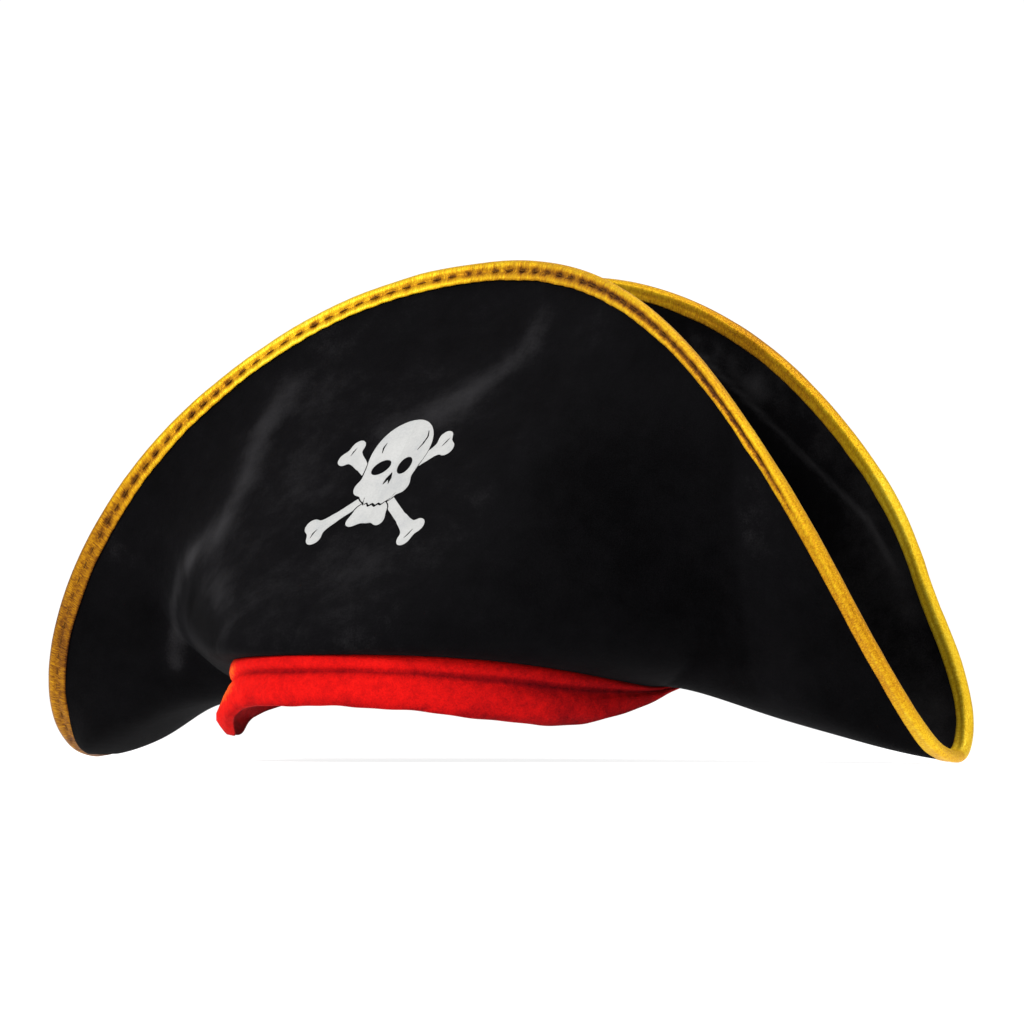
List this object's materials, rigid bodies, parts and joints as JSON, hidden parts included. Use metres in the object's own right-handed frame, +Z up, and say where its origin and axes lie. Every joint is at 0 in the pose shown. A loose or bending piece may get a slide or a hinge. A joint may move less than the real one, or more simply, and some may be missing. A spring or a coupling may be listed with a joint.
{
  "type": "costume pirate hat",
  "caption": "Soft black velour costume pirate hat with turned-up front and back flaps, gold edge binding, a red plush band and a printed skull and crossbones.",
  "frame": {"origin": "centre of the head opening, on the plane of its lower rim", "axes": "+X towards the tip at the wearer's left, -Y towards the front flap with the print, +Z up through the crown"},
  "size_m": [0.402, 0.2109, 0.1887],
  "materials": {
    "black_velour": "short velour pile with a soft sheen",
    "grey_felt": "matte non-woven felt",
    "gold_lame": "crinkled metallic woven tape",
    "gold_thread": "twisted metallic thread",
    "black_cotton": "plain woven cotton tape",
    "red_plush": "soft plush pile",
    "white_print": "matte transfer film",
    "black_thread": "twisted sewing thread"
  },
  "bodies": {
    "root": {"brim_front_face": "black_velour", "brim_front_stiffener": "grey_felt", "brim_front_lining": "black_velour", "brim_back_face": "black_velour", "brim_back_stiffener": "grey_felt", "brim_back_lining": "black_velour", "edge_binding": "gold_lame", "binding_stitching": "gold_thread", "crown_front_panel": "black_velour", "crown_back_panel": "black_velour", "sweatband": "black_cotton", "red_band": "red_plush", "skull_print": "white_print", "front_flap_tacks": "black_thread", "back_flap_tacks": "black_thread"}
  },
  "joints": []
}
